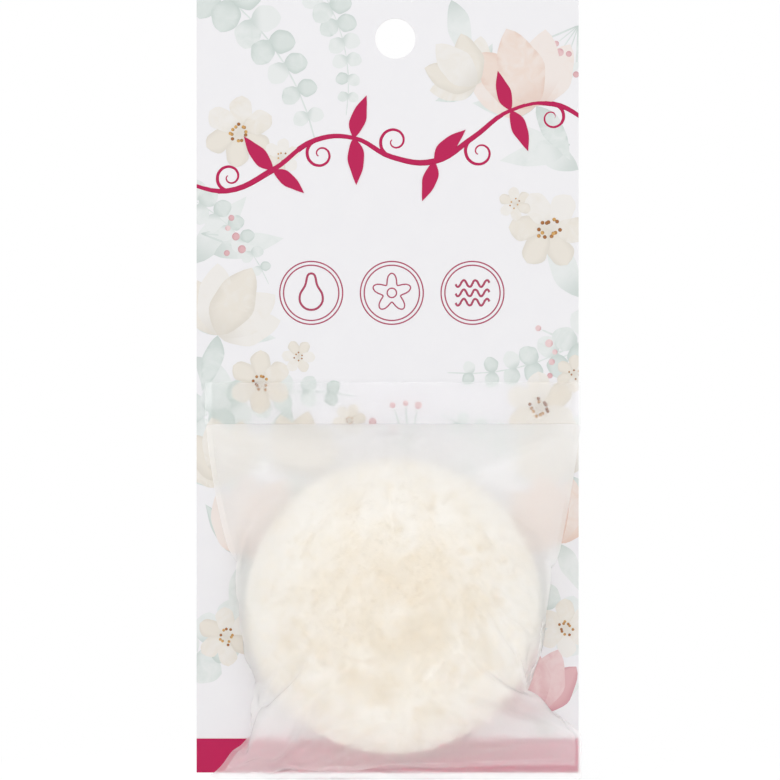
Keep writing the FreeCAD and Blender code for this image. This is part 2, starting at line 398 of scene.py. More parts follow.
def join_on_card(name, pieces, material):
    """Joins printed shapes to one piece that belongs to the card."""
    take(pieces[0])
    for piece in pieces:
        piece.select_set(True)
    bpy.ops.object.join()
    joined = bpy.context.object
    bpy.ops.object.transform_apply()
    joined.name = name
    dress(joined, material)
    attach(joined, "card")
    return joined


def trim_to_card(piece):
    """Cuts away what runs past the card's four edges."""
    take(piece)
    bpy.ops.object.mode_set(mode="EDIT")
    for corner, outward in ((card_low, -1), (card_high, 1)):
        for side in (Vector((outward, 0, 0)), Vector((0, 0, outward))):
            bpy.ops.mesh.select_all(action="SELECT")
            bpy.ops.mesh.bisect(
                plane_co=corner, plane_no=side, clear_outer=True, threshold=CUT_PRECISION
            )
    bpy.ops.object.mode_set(mode="OBJECT")


def print_piece(name, piece_marks, material):
    """Joins brush marks to one piece, trims it at the card's edges and roots the ink in the board."""
    piece = join_on_card(name, piece_marks, material)
    trim_to_card(piece)
    apply_modifier(piece, "SOLIDIFY", thickness=INK_ROOT, offset=-1)
    print(name, len(piece.data.polygons), "faces")


# %% [markdown]
# ## Watercolour
#
# Watercolour dries pale in the middle of a mark and gathers its pigment along the rim, with soft
# clouds where the wet paint ran. The rim comes from the UV map's "across", the root's deeper tint
# from its "along", and the clouds from noise a few millimetres wide. One function makes the paints,
# because only their three tints differ.

# %% Watercolour paints
CLOUD = 3.5 * MM
INK_ROUGHNESS = 0.55


def watercolour(name, pale, body, deep):
    """A paint that is pale in its middle, stronger in clouds and at its root, and deepest at its rim."""
    material, tree, shader = new_material(name)
    coords = add_node(tree, "ShaderNodeTexCoord")
    place = add_node(tree, "ShaderNodeSeparateXYZ", {0: coords.outputs["UV"]})
    tone = add_node(tree, "ShaderNodeAttribute", attribute_name="tone")
    cloud = add_node(
        tree, "ShaderNodeTexNoise",
        {"Vector": coords.outputs["Object"], "Scale": 1 / CLOUD, "Detail": 5, "Distortion": 1.2},
    )
    run = add_node(
        tree, "ShaderNodeMath", {0: cloud.outputs["Fac"], 1: tone.outputs["Fac"]}, operation="ADD"
    )
    wash = add_node(
        tree, "ShaderNodeMapRange",
        {"Value": run.outputs[0], "From Min": 0.6, "From Max": 1.3},
        interpolation_type="SMOOTHSTEP",
    )
    washed = add_node(
        tree, "ShaderNodeMix",
        {MIX_SHARE: wash.outputs[0], MIX_FIRST: colour(pale), MIX_SECOND: colour(body)},
        data_type="RGBA",
    )
    root = add_node(
        tree, "ShaderNodeMapRange",
        {"Value": place.outputs["Y"], "From Min": 0.4, "From Max": 0.0, "To Max": 0.6},
        interpolation_type="SMOOTHSTEP",
    )
    rooted = add_node(
        tree, "ShaderNodeMix",
        {MIX_SHARE: root.outputs[0], MIX_FIRST: washed.outputs[MIX_RESULT], MIX_SECOND: colour(deep)},
        data_type="RGBA",
    )
    across = add_node(
        tree, "ShaderNodeMath", {0: place.outputs["X"], 1: 2.0, 2: -1.0}, operation="MULTIPLY_ADD"
    )
    to_rim = add_node(tree, "ShaderNodeMath", {0: across.outputs[0]}, operation="ABSOLUTE")
    worn = add_node(
        tree, "ShaderNodeMath", {0: to_rim.outputs[0], 1: wash.outputs[0]}, operation="MULTIPLY"
    )
    rim = add_node(
        tree, "ShaderNodeMapRange",
        {"Value": worn.outputs[0], "From Min": 0.45, "To Max": 0.5},
        interpolation_type="SMOOTHSTEP",
    )
    edged = add_node(
        tree, "ShaderNodeMix",
        {MIX_SHARE: rim.outputs[0], MIX_FIRST: rooted.outputs[MIX_RESULT], MIX_SECOND: colour(deep)},
        data_type="RGBA",
    )
    set_inputs(shader, {"Base Color": edged.outputs[MIX_RESULT], "Roughness": INK_ROUGHNESS})
    return material


peach_wash = watercolour("peach_watercolour", "EFE6E1", "ECDACF", "E0C3B5")
cream_wash = watercolour("cream_watercolour", "EEEBE7", "E9E3D9", "D8D2C8")
sage_wash = watercolour("sage_watercolour", "E8EBEA", "DAE1DE", "BFCBC6")
rose_wash = watercolour("rose_watercolour", "EBD2D2", "DFB3B7", "C98A94")
amber_wash = watercolour("amber_watercolour", "D3A45F", "A5672D", "5A3424")

# %% [markdown]
# ## The flowers
#
# The print here is a plain garden mix: cup-shaped blossoms seen from the side, open stars with amber
# stamens, round-leaved sprigs and berries, in pale peach, cream and sage. The blossoms sit along the
# card's sides and leave its middle white. Places are millimetres across and down from the card's top
# left corner, with a turn and a size.

# %% Cup blossoms, star blossoms and sprigs
draw = random.Random(7)
CUP_FAN = ((-52, 0.82), (50, 0.85), (-27, 0.95), (28, 0.93), (0, 1.0))
PEACH_CUPS = ((80, 25, -24, 1.15), (12, 131, 24, 1.2), (85, 128, -18, 1.0), (30, 166, 8, 1.1))
CREAM_CUPS = ((5, 79, 24, 1.05), (66, 20, -48, 0.8), (87, 112, -28, 0.9), (23, 111, 10, 0.85),
              (8, 113, -20, 0.9))
ROSE_CUPS = ((80, 168, -12, 1.0), (57, 170, 14, 0.85))
STARS = ((10, 31, 1.7), (20, 37, 0.9), (83, 54, 1.9), (75, 48, 0.8), (15, 90, 1.5), (24, 84, 0.8),
         (81, 96, 1.7), (89, 88, 0.9), (36, 99, 0.8), (7, 150, 1.4), (87, 148, 1.4))
SPRIGS = ((3, -4, 128, 1.25), (29, -3, 150, 0.85), (94, 78, 236, 1.0), (-2, 100, 62, 1.1),
          (93, 104, 262, 1.0), (-2, 156, 48, 1.2), (92, 150, 300, 1.1), (46, 132, 24, 0.9),
          (-3, 46, 118, 0.8))
BROAD_LEAVES = ((0, 62, 30, 1.5), (4, 60, 70, 1.3), (90, 40, 300, 1.4), (88, 34, 250, 1.3),
                (60, 0, 160, 1.2), (0, 84, 140, 1.5), (90, 70, 330, 1.4), (22, 96, 200, 1.3))
BERRIES = ((90, 6, 215), (1, 55, 95), (91, 82, 262), (50, 106, 340), (4, 118, 120))
STAR_PETALS = 6
STAMENS = 7
STAMEN_SIZE = 0.3
SPRIG_JOINTS = 7
SPRIG_BEND = 6
SPRIG_TAPER = 0.09
SPRIG_STEP = 5.2
TWIGS = 5
TWIG_FAN = 16


def cup_blossom(cup_marks, across, down, turn, size):
    """Five long petals that fan from one root, the middle one on top."""
    root = on_card(across, down)
    for layer, (lean, share) in enumerate(CUP_FAN):
        paint(cup_marks, "cup_petal", root, turn + lean, size * share, layer + 2, draw.random())


def star_blossom(petal_marks, stamen_marks, across, down, size):
    """Six petals round a middle, with a ring of stamens whose number grows with the size."""
    middle = on_card(across, down)
    apart = 360 / STAR_PETALS
    start = draw.uniform(0, apart)
    for petal in range(STAR_PETALS):
        heading = start + apart * petal
        paint(petal_marks, "star_petal", middle, heading, size, 4 + petal % 2, draw.random())
    stamens = round(STAMENS * size)
    for stamen in range(stamens):
        heading = 360 * stamen / stamens + draw.uniform(-15, 15)
        tip = step_from(middle, heading, size * draw.uniform(0.5, 1.3))
        paint(stamen_marks, "dot", tip, heading, STAMEN_SIZE * size, 6, draw.random())


peach_marks, cream_marks, rose_marks, sage_marks, amber_marks = [], [], [], [], []
for cups, cup_marks in ((PEACH_CUPS, peach_marks), (CREAM_CUPS, cream_marks), (ROSE_CUPS, rose_marks)):
    for across, down, turn, size in cups:
        cup_blossom(cup_marks, across, down, turn, size)
        for lean in (-70, 62, 165):
            paint(sage_marks, "long_leaf", on_card(across, down), turn + lean, size, 1, draw.random())
for across, down, size in STARS:
    star_blossom(cream_marks, amber_marks, across, down, size)
for across, down, turn, size in BROAD_LEAVES:
    paint(sage_marks, "long_leaf", on_card(across, down), turn, size, 0, 0.2)
for across, down, turn, size in SPRIGS:
    spot = on_card(across, down)
    for joint in range(SPRIG_JOINTS):
        heading = turn + SPRIG_BEND * joint
        paint(sage_marks, "stem", spot, heading, 0.6 * size, 0, 0.6)
        for hand in (-1, 1):
            spread = heading + hand * draw.uniform(48, 72)
            shrunk = size * (1 - SPRIG_TAPER * joint)
            paint(sage_marks, "round_leaf", spot, spread, shrunk, 1 + joint % 2, draw.random())
        spot = step_from(spot, heading, SPRIG_STEP * size)
for across, down, turn in BERRIES:
    root = on_card(across, down)
    for twig in range(TWIGS):
        heading = turn + TWIG_FAN * (twig - TWIGS // 2)
        reach = draw.uniform(5, 11)
        paint(sage_marks, "stem", root, heading, reach / 10, 0, 0.6)
        tip = step_from(root, heading, reach)
        paint(rose_marks, "dot", tip, heading, draw.uniform(0.8, 1.2), 3, draw.random())

print_piece("print_peach_blossoms", peach_marks, peach_wash)
print_piece("print_cream_blossoms", cream_marks, cream_wash)
print_piece("print_rose_blossoms", rose_marks, rose_wash)
print_piece("print_sprigs", sage_marks, sage_wash)
print_piece("print_stamens", amber_marks, amber_wash)

# %% [markdown]
# ## The vine, the icons and the foot band
#
# Across the upper third runs a leafy vine in strong magenta, under it stand three small line icons in
# rings, and a magenta band closes the card's foot. Vine and icons are pen lines: a smooth curve with
# a round bevel, thick and thin by the points' radius, turned to a mesh and pressed almost flat.

# %% Pen lines
PRESS = 0.3


def plain_ink(name, code):
    """One even printing ink."""
    material, _, shader = new_material(name)
    set_inputs(
        shader, {"Base Color": colour(code), "Roughness": INK_ROUGHNESS, "Specular IOR Level": 0.15}
    )
    return material


magenta_ink = plain_ink("magenta_ink", "BE2458")
wine_ink = plain_ink("wine_ink", "B04A66")


def pen_line(points, width, middle, closed=False):
    """A line of ink through points (across and up in millimetres, share of the width) round a middle."""
    bpy.ops.object.select_all(action="DESELECT")
    bpy.ops.curve.primitive_bezier_curve_add()
    line = bpy.context.object
    line.data.splines.clear()
    spline = line.data.splines.new("BEZIER")
    spline.bezier_points.add(len(points) - 1)
    for point, (across, up, share) in zip(spline.bezier_points, points):
        point.co = (across * MM, 0, up * MM)
        point.radius = share
        point.handle_left_type = point.handle_right_type = "AUTO"
    spline.use_cyclic_u = closed
    spline.resolution_u = 6
    line.data.bevel_depth = width * MM / 2
    line.data.bevel_resolution = 2
    line.data.use_fill_caps = True
    bpy.ops.object.convert(target="MESH")
    line.data.transform(Matrix.Translation(middle) @ Matrix.Diagonal((1, PRESS, 1, 1)))
    return line


def curl(across, up, toward, size, hand):
    """Points of a tendril that leaves a place and winds in on a middle in a direction in degrees."""
    out = math.radians(toward)
    points = []
    for step in range(14):
        angle = out + math.pi + hand * step * math.pi / 5
        reach = size * (1 - step / 16)
        points.append((across + size * math.cos(out) + reach * math.cos(angle),
                       up + size * math.sin(out) + reach * math.sin(angle), 0.75 - 0.04 * step))
    return points


# %% Vine
VINE = ((-48, -9, 0.8), (-38, -11, 1.1), (-27, -6, 1.3), (-17, 1, 1.1), (-8, 1.5, 0.9), (1, -3, 1.1),
        (11, -4, 1.3), (20, 1.5, 1.1), (29, 8, 0.9), (39, 9.5, 1.1), (48, 5, 0.8))
VINE_WIDTH = 1.1
CURLS = ((-38, -11, 75, 3.4, -1), (-17, 1, -70, 3.6, 1), (1, -3, 80, 3.8, -1), (20, 1.5, -62, 3.8, 1),
         (39, 9.5, -95, 3.2, -1))
VINE_LEAVES = ((-27, -6, -48, 0.8), (-27, -6, 120, 0.7), (-8, 1.5, 10, 0.8), (-8, 1.5, 170, 0.85),
               (11, -4, 38, 0.8), (11, -4, 190, 0.75), (29, 8, -25, 0.75), (29, 8, 150, 0.8))
vine_middle = on_card(45, 34)
vine_lines = [pen_line(VINE, VINE_WIDTH, vine_middle)]
for across, up, toward, size, hand in CURLS:
    vine_lines.append(pen_line(curl(across, up, toward, size, hand), VINE_WIDTH, vine_middle))
vine = join_on_card("print_vine", vine_lines, magenta_ink)
trim_to_card(vine)
vine_leaves = []
for across, up, turn, size in VINE_LEAVES:
    paint(vine_leaves, "long_leaf", vine_middle + Vector((across * MM, 0, up * MM)), turn, size, 7)
print_piece("print_vine_leaves", vine_leaves, magenta_ink)

# %% Icons
ICON_RING = 7.4
RING_GAP = 0.9
ICON_LINE = 0.32
ICON_BOLD = 1.6 * ICON_LINE
DROP = ((0, 4.6), (1.5, 1.6), (2.7, -0.8), (2.2, -2.9), (0, -4.0), (-2.2, -2.9), (-2.7, -0.8),
        (-1.5, 1.6))


def closed_line(radius_at, middle):
    """A closed pen line whose radius, in millimetres, is a function of the angle."""
    angles = [math.radians(9 * step) for step in range(40)]
    points = [
        (radius_at(angle) * math.sin(angle), radius_at(angle) * math.cos(angle), 1) for angle in angles
    ]
    return pen_line(points, ICON_LINE, middle, closed=True)


icon_lines = []
drop_middle, blossom_middle, wave_middle = (on_card(across, 69) for across in (27, 46, 65))
for middle in (drop_middle, blossom_middle, wave_middle):
    icon_lines.append(closed_line(lambda angle: ICON_RING, middle))
    icon_lines.append(closed_line(lambda angle: ICON_RING - RING_GAP, middle))
drop = [(across, up, 1) for across, up in DROP]
icon_lines.append(pen_line(drop, ICON_BOLD, drop_middle, closed=True))
icon_lines.append(closed_line(lambda angle: 3.4 + 1.2 * math.cos(5 * angle), blossom_middle))
icon_lines.append(closed_line(lambda angle: 1.1, blossom_middle))
for up in (-2.2, 0, 2.2):
    wave = [(step / 2, up + 0.8 * math.sin(1.15 * step), 1) for step in range(-8, 9)]
    icon_lines.append(pen_line(wave, ICON_BOLD, wave_middle))
join_on_card("print_icons", icon_lines, wine_ink)

# %% Foot band
BAND_HEIGHT = 8 * MM
band_place = ((card_low.x + card_high.x) / 2, card_low.y - 9 * LAYER, card_low.z + BAND_HEIGHT / 2)
band = upright_grid("band", 12, 2, (card_high.x - card_low.x, BAND_HEIGHT), band_place)
apply_modifier(band, "SOLIDIFY", thickness=INK_ROOT, offset=-1)
join_on_card("print_foot_band", [band], magenta_ink)

# %% [markdown]
# ## The sponge
#
# A konjac sponge is cooked root fibre that was frozen, pressed and dried: a domed puff with a rolled
# rim and a flat back, covered in fine pores. An icosphere has the most even faces, so its points are
# laid along the puff's own profile, by length, and three displacements then give it soft lumps, pores
# and a fine tooth.

# %% Konjac sponge
SPONGE_SKIN = 0.35 * MM
RIM = 4 * MM
SPONGE_RELIEF = (
    ("lumps", "CLOUDS", 9 * MM, 0.5 * MM),
    ("pores", "VORONOI", 1.8 * MM, 0.32 * MM),
    ("tooth", "CLOUDS", 0.8 * MM, 0.16 * MM),
)
radius = (sponge_high.x - sponge_low.x) / 2 - SPONGE_SKIN
depth = sponge_high.y - sponge_low.y - 2 * SPONGE_SKIN
centre = (sponge_low + sponge_high) / 2
crown = (radius**2 + (depth - RIM) ** 2) / (2 * (depth - RIM))
dome_angle = math.asin(radius / crown)
PROFILE = (crown * dome_angle, RIM * math.pi / 2, radius - RIM)


def profile_point(share):
    """Distance from the axis and height off the flat back, at a share of the way from crown to back."""
    way = share * sum(PROFILE)
    if way < PROFILE[0]:
        angle = way / crown
        return crown * math.sin(angle), depth - crown * (1 - math.cos(angle))
    way -= PROFILE[0]
    if way < PROFILE[1]:
        angle = way / RIM
        return radius - RIM + RIM * math.cos(angle), RIM - RIM * math.sin(angle)
    return radius - RIM - (way - PROFILE[1]), 0.0


bpy.ops.object.select_all(action="DESELECT")
bpy.ops.mesh.primitive_ico_sphere_add(subdivisions=7, radius=1)
sponge = bpy.context.object
sponge.name = "sponge_puff"
for point in sponge.data.vertices:
    away = math.acos(max(-1.0, min(1.0, -point.co.y))) / math.pi
    reach, height = profile_point(away)
    round_axis = Vector((point.co.x, 0, point.co.z)).normalized() * reach
    point.co = Vector((centre.x, sponge_high.y - SPONGE_SKIN - height, centre.z)) + round_axis
for name, kind, size, strength in SPONGE_RELIEF:
    texture = bpy.data.textures.new(name, kind)
    texture.noise_scale = size
    apply_modifier(
        sponge, "DISPLACE", texture=texture, strength=strength, mid_level=0.6, texture_coords="LOCAL"
    )
take(sponge)
bpy.ops.object.shade_smooth()

# %% [markdown]
# Dry konjac is matt and cream. It is a little tanner where the fibre is dense. Its colour is also
# painted tanner at the crown of the dome and paler towards the rim: painted light, for the white veil
# that the film scatters where it stands off the sponge. Small tan flecks break up its surface, and its
# pores are painted darker, as painted shade in their hollows. They are drawn wider and deeper than the
# real ones, or they would be lost behind the film.

# %% Konjac fibre
PAINTED_HAZE_START = 10 * MM
PAINTED_HAZE_END = 34 * MM
PATCH = 9 * MM
FLECK = 2.4 * MM
PORE = 1.8 * MM
GRAIN = 0.5 * MM
GRAIN_DEPTH = 0.2 * MM
fibre_material, tree, shader = new_material("dry_konjac_fibre")
place = add_node(tree, "ShaderNodeTexCoord").outputs["Object"]
centred = add_node(
    tree, "ShaderNodeVectorMath", {0: place, 1: (centre.x, sponge_low.y, centre.z)}, operation="DISTANCE"
)
patch = add_node(
    tree, "ShaderNodeTexNoise", {"Vector": place, "Scale": 1 / PATCH, "Detail": 5, "Roughness": 0.65}
)
# Painted light: the fibre is painted tanner at the crown and paler towards the rim, for the film's white
# veil.
painted_haze = add_node(
    tree, "ShaderNodeMapRange",
    {
        "Value": centred.outputs["Value"],
        "From Min": PAINTED_HAZE_START,
        "From Max": PAINTED_HAZE_END,
        "To Min": 0.16,
        "To Max": -0.16,
    },
)
density_and_haze = add_node(
    tree, "ShaderNodeMath", {0: patch.outputs["Fac"], 1: painted_haze.outputs[0]}, operation="ADD"
)
tint = add_node(
    tree, "ShaderNodeMapRange",
    {"Value": density_and_haze.outputs[0], "From Min": 0.3, "From Max": 0.75},
    interpolation_type="SMOOTHSTEP",
)
tan_and_haze = add_node(
    tree, "ShaderNodeMix",
    {MIX_SHARE: tint.outputs[0], MIX_FIRST: colour("F5F2EB"), MIX_SECOND: colour("E8DCC6")},
    data_type="RGBA",
)
speckle = add_node(tree, "ShaderNodeTexNoise", {"Vector": place, "Scale": 1 / FLECK, "Detail": 2})
fleck = add_node(
    tree, "ShaderNodeMapRange",
    {"Value": speckle.outputs["Fac"], "From Min": 0.52, "From Max": 0.7, "To Max": 0.4},
    interpolation_type="SMOOTHSTEP",
)
cream = add_node(
    tree, "ShaderNodeMix",
    {MIX_SHARE: fleck.outputs[0], MIX_FIRST: tan_and_haze.outputs[MIX_RESULT], MIX_SECOND: colour("DDC49C")},
    data_type="RGBA",
)
pore = add_node(tree, "ShaderNodeTexVoronoi", {"Vector": place, "Scale": 1 / PORE})
# Painted shade: the pores are painted darker, as the shade in their hollows.
pore_shade = add_node(
    tree, "ShaderNodeMapRange",
    {"Value": pore.outputs["Distance"], "From Min": 0.0, "From Max": 0.5, "To Min": 0.55, "To Max": 0.0},
)
with_pore_shade = add_node(
    tree, "ShaderNodeMix",
    {MIX_SHARE: pore_shade.outputs[0], MIX_FIRST: cream.outputs[MIX_RESULT], MIX_SECOND: colour("D8C3A2")},
    data_type="RGBA",
)
grain = add_node(tree, "ShaderNodeTexNoise", {"Vector": place, "Scale": 1 / GRAIN, "Detail": 5})
bump = add_node(
    tree, "ShaderNodeBump", {"Height": grain.outputs["Fac"], "Strength": 0.5, "Distance": GRAIN_DEPTH}
)
set_inputs(shader, {
    "Base Color": with_pore_shade.outputs[MIX_RESULT],
    "Normal": bump.outputs[0],
    "Roughness": 0.95,
    "Specular IOR Level": 0.2,
    "Sheen Weight": 0.15,
})
dress(sponge, fibre_material)
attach(sponge, "sponge")
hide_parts("konjac_sponge")

# %% [markdown]
# ## The film
#
# The bag is frosted polyethylene about 0.05 mm thick. Its matt skin scatters light: what it touches
# shows clearly, and what lies a few millimetres behind it melts into a pale blur. Rough transmission
# does just that. A share of plain white scatter gives the milky veil, and a fine crinkle bends the
# soft highlights.

# %% Frosted polyethylene
CRINKLE = 3.2 * MM
CRINKLE_DEPTH = 0.25 * MM


def polyethylene(name, tint, clear, roughness):
    """Film that lets a share of light through and blurs it by its roughness."""
    material, tree, shader = new_material(name)
    place = add_node(tree, "ShaderNodeTexCoord").outputs["Object"]
    crinkle = add_node(
        tree, "ShaderNodeTexNoise", {"Vector": place, "Scale": 1 / CRINKLE, "Detail": 3, "Distortion": 0.8}
    )
    bump = add_node(
        tree, "ShaderNodeBump",
        {"Height": crinkle.outputs["Fac"], "Strength": 0.25, "Distance": CRINKLE_DEPTH},
    )
    set_inputs(shader, {
        "Base Color": colour(tint),
        "Normal": bump.outputs[0],
        "Transmission Weight": clear,
        "Roughness": roughness,
        "IOR": 1.25,
    })
    return material


film = polyethylene("frosted_polyethylene", "FFFFFF", 0.83, 0.4)
glued_film = polyethylene("polyethylene_on_glue", "F9F9F9", 0.95, 0.2)

# %% [markdown]
# ## The bag
#
# The bag is two flat films, welded along both sides and the foot, with a sponge pushed in. Its folds
# come from that: the film bends easily and hardly stretches, so it gathers where it has to shorten. A
# cloth simulation does the same. Two grids are laid on each other and merged along the welds, and a
# sponge that grows from flat to full swells the bag. The top edge is pinned at the crease of the
# glued hem. The foot is pinned to a hook that lifts it as the bag fills, to the level of the card's
# foot, where the pack stands on the table. That is what draws the sides in and crumples them. The
# lowest end of the right weld is held with the foot, so that this corner stays flat. Blender's cloth
# keeps at least a millimetre from what it touches, so everything is ten times as large while it is
# simulated.

# %% Two films welded at the sides and the foot
ENLARGE = 10
CELL = 1.5 * MM
FILM = 0.1 * MM
POCKET_CUT = 98 * MM
SIDE_WELD = 2 * MM
FOOT_WELD = 4 * MM
FLAT_CORNER = 12 * MM
FILM_GAP = 0.1 * MM
OPEN_REACH = 6 * MM
OPEN_GAP = 3 * MM
WELD_MERGE = 0.02 * MM
bag_middle = (foot_low.x + foot_high.x) / 2
bag_half = (foot_high.x - foot_low.x) / 2
crease = hem_low.z
weld_depth = (foot_low.y + foot_high.y) / 2
film_foot = crease - POCKET_CUT


def film_grid(name, depth):
    """One flat film of the bag, from the crease to the foot, at a depth in front of the card's back."""
    columns, rows = round(2 * bag_half / CELL), round(POCKET_CUT / CELL)
    place = (bag_middle, depth, crease - POCKET_CUT / 2)
    return upright_grid(name, columns, rows, (2 * bag_half, POCKET_CUT), place)


def weld_room(point):
    """How far a point of the flat film lies inside the welds, below zero on one, and below the crease."""
    to_side = bag_half - SIDE_WELD - abs(point.x - bag_middle)
    to_foot = point.z - film_foot - FOOT_WELD
    return min(to_side, to_foot), crease - point.z


front_film = film_grid("bag_front", weld_depth)
back_film = film_grid("bag_back", weld_depth)
for grid, layer in ((front_film, 1), (back_film, 0)):
    part = grid.data.attributes.new("front", "INT", "FACE")
    for face in part.data:
        face.value = layer
    for point in grid.data.vertices:
        room, below = weld_room(point.co)
        if room > CELL / 4:
            opened = min(1.0, min(room, below) / OPEN_REACH)
            point.co.y += FILM_GAP if layer == 0 else -(FILM_GAP + OPEN_GAP * opened)
take(front_film)
back_film.select_set(True)
bpy.ops.object.join()
bag = bpy.context.object
bag.name = "bag"
bpy.ops.object.mode_set(mode="EDIT")
bpy.ops.mesh.select_all(action="SELECT")
bpy.ops.mesh.remove_doubles(threshold=WELD_MERGE)
bpy.ops.object.mode_set(mode="OBJECT")
top_row = [point.index for point in bag.data.vertices if point.co.z > crease - CELL / 4]
foot_row = [point.index for point in bag.data.vertices if point.co.z < film_foot + CELL / 4]
right_weld = bag_middle + bag_half - SIDE_WELD
foot_row += [point.index for point in bag.data.vertices
             if point.co.x > right_weld and point.co.z < film_foot + FLAT_CORNER]
bag.vertex_groups.new(name="pinned").add(top_row + foot_row, 1.0, "REPLACE")
bag.vertex_groups.new(name="foot").add(foot_row, 1.0, "REPLACE")
print("bag", len(bag.data.vertices), "points")

# %% [markdown]
# Over the dome the front film needs more length than the back film behind it. On the real pack the
# spare back film lies in creases between the sponge and the card, where nobody sees it. Here the
# hidden film is taken in instead: a little behind the sponge's widest part, and more below it, most
# of all at the lower left, where the photograph shows the deepest waist, and least at the right. The
# two shares of a side are for these two heights.

# %% Take in the hidden film
LEFT_TAKE_IN = (0.1, 0.27)
RIGHT_TAKE_IN = (0.03, 0.06)
WAIST_RAMP = (8 * MM, 40 * MM)
LOW_RAMP = (62 * MM, 78 * MM)


def ramp(value, start, end):
    """0 up to the start, 1 from the end on, and a straight line between them."""
    return min(1.0, max(0.0, (value - start) / (end - start)))


def take_in(point):
    """The share by which the hidden film is shortened at a point of the flat film."""
    down = crease - point.z
    rightward = ramp(point.x, bag_middle - bag_half / 2, bag_middle + bag_half / 2)
    waist, low = (left + (right - left) * rightward for left, right in zip(LEFT_TAKE_IN, RIGHT_TAKE_IN))
    return waist * ramp(down, *WAIST_RAMP) + (low - waist) * ramp(down, *LOW_RAMP)


hidden = bag.vertex_groups.new(name="hidden")
for point in bag.data.vertices:
    if point.co.y > weld_depth + FILM_GAP / 2:
        hidden.add([point.index], take_in(point.co) / max(LEFT_TAKE_IN), "REPLACE")

# %% [markdown]
# Each face still knows where it lay on the flat film, so the welds can be told from the panels after
# the film has moved. That is noted before the simulation, as a number on each face.

# %% Which face belongs to which piece
PANEL_BACK, PANEL_FRONT, LEFT_WELD, RIGHT_WELD, BOTTOM_WELD = range(5)
piece_of = bag.data.attributes.new("piece", "INT", "FACE")
for face in bag.data.polygons:
    middle = face.center
    if middle.z < film_foot + FOOT_WELD:
        piece_of.data[face.index].value = BOTTOM_WELD
    elif abs(middle.x - bag_middle) > bag_half - SIDE_WELD:
        piece_of.data[face.index].value = LEFT_WELD if middle.x < bag_middle else RIGHT_WELD
    else:
        piece_of.data[face.index].value = bag.data.attributes["front"].data[face.index].value

# %% [markdown]
# The sponge that swells the bag is a plain copy of the puff's profile, drawn out upwards by the few
# millimetres that the loose sponge can travel, so that the film leaves room for it. It starts almost
# flat and grows over the first frames, and then the film settles.

# %% Swell the bag
SPONGE_TRAVEL = 4 * MM
RIM_ROOM = 0.8 * MM
LIFT_FRAMES = 32
GROW_FRAMES = 40
SETTLE_FRAMES = 14
FOOT_FORWARD = 3 * MM
FLAT_SHARE = 0.02
WALL_SIZE = (0.3, 0.02, 0.4)
PIECE_TOUCH = 0.1 * MM
FILM_TOUCH = 0.2 * MM
SELF_TOUCH = 0.15 * MM


def collider(piece):
    """Makes a piece something that the film can't pass."""
    take(piece)
    bpy.ops.object.modifier_add(type="COLLISION")
    piece.collision.thickness_outer = PIECE_TOUCH * ENLARGE
    piece.collision.cloth_friction = 0.6


def swell(bag):
    """Runs the simulation on the bag at its enlarged size and applies it."""
    scene = bpy.context.scene
    bpy.ops.object.select_all(action="DESELECT")
    bpy.ops.mesh.primitive_uv_sphere_add(
        segments=72, ring_count=48, radius=1, rotation=(math.pi / 2, 0, 0)
    )
    filler = bpy.context.object
    bpy.ops.object.transform_apply()
    for point in filler.data.vertices:
        away = math.acos(max(-1.0, min(1.0, -point.co.y))) / math.pi
        reach, height = profile_point(away)
        spread = Vector((point.co.x, 0, point.co.z)).normalized() * (reach + SPONGE_SKIN + RIM_ROOM)
        raised = SPONGE_TRAVEL if point.co.z > 0.001 else 0.0
        point.co = (spread.x, -height - 2 * SPONGE_SKIN * min(1, height / RIM), spread.z + raised)
    filler.data.transform(Matrix.Scale(ENLARGE, 4))
    filler.location = Vector((centre.x, sponge_high.y, centre.z)) * ENLARGE
    for frame_number, share in ((1, FLAT_SHARE), (GROW_FRAMES, 1.0)):
        filler.scale = (1, share, 1)
        filler.keyframe_insert("scale", frame=frame_number)
    collider(filler)

    bpy.ops.mesh.primitive_cube_add(size=1)
    wall = bpy.context.object
    wall.scale = Vector(WALL_SIZE) * ENLARGE
    wall.location = Vector((0, card_low.y + WALL_SIZE[1] / 2, aim.z)) * ENLARGE
    bpy.ops.object.transform_apply()
    collider(wall)

    bpy.ops.object.empty_add()
    lifter = bpy.context.object
    hook = bag.modifiers.new("hook", "HOOK")
    hook.object = lifter
    hook.vertex_group = "foot"
    lifter.keyframe_insert("location", frame=1)
    lifter.location = Vector((0, -FOOT_FORWARD, foot_low.z - film_foot)) * ENLARGE
    lifter.keyframe_insert("location", frame=LIFT_FRAMES)

    bag.data.transform(Matrix.Scale(ENLARGE, 4))
    take(bag)
    cloth = bag.modifiers.new("cloth", "CLOTH")
    settings = cloth.settings
    settings.quality = 8
    settings.mass = 0.05
    settings.tension_stiffness = 60
    settings.compression_stiffness = 60
    settings.shear_stiffness = 30
    settings.bending_model = "ANGULAR"
    settings.bending_stiffness = 4.0
    settings.tension_damping = 10
    settings.compression_damping = 10
    settings.shear_damping = 10
    settings.bending_damping = 1.0
    settings.air_damping = 2.0
    settings.vertex_group_mass = "pinned"
    settings.vertex_group_shrink = "hidden"
    settings.shrink_min = 0.0
    settings.shrink_max = max(LEFT_TAKE_IN)
    touch = cloth.collision_settings
    touch.distance_min = FILM_TOUCH * ENLARGE
    touch.collision_quality = 3
    touch.use_self_collision = True
    touch.self_distance_min = SELF_TOUCH * ENLARGE
    cloth.point_cache.frame_end = GROW_FRAMES + SETTLE_FRAMES
    for frame_number in range(1, GROW_FRAMES + SETTLE_FRAMES + 1):
        scene.frame_set(frame_number)
    bpy.ops.object.convert(target="MESH")
    scene.frame_set(1)
    bag.data.transform(Matrix.Scale(1 / ENLARGE, 4))
    for helper in (filler, wall, lifter):
        bpy.data.objects.remove(helper)


swell(bag)
lowest = min(point.co.z for point in bag.data.vertices)
print("bag's foot", round(lowest / MM, 1), "mm, and", round(foot_low.z / MM, 1), "mm in the frame")
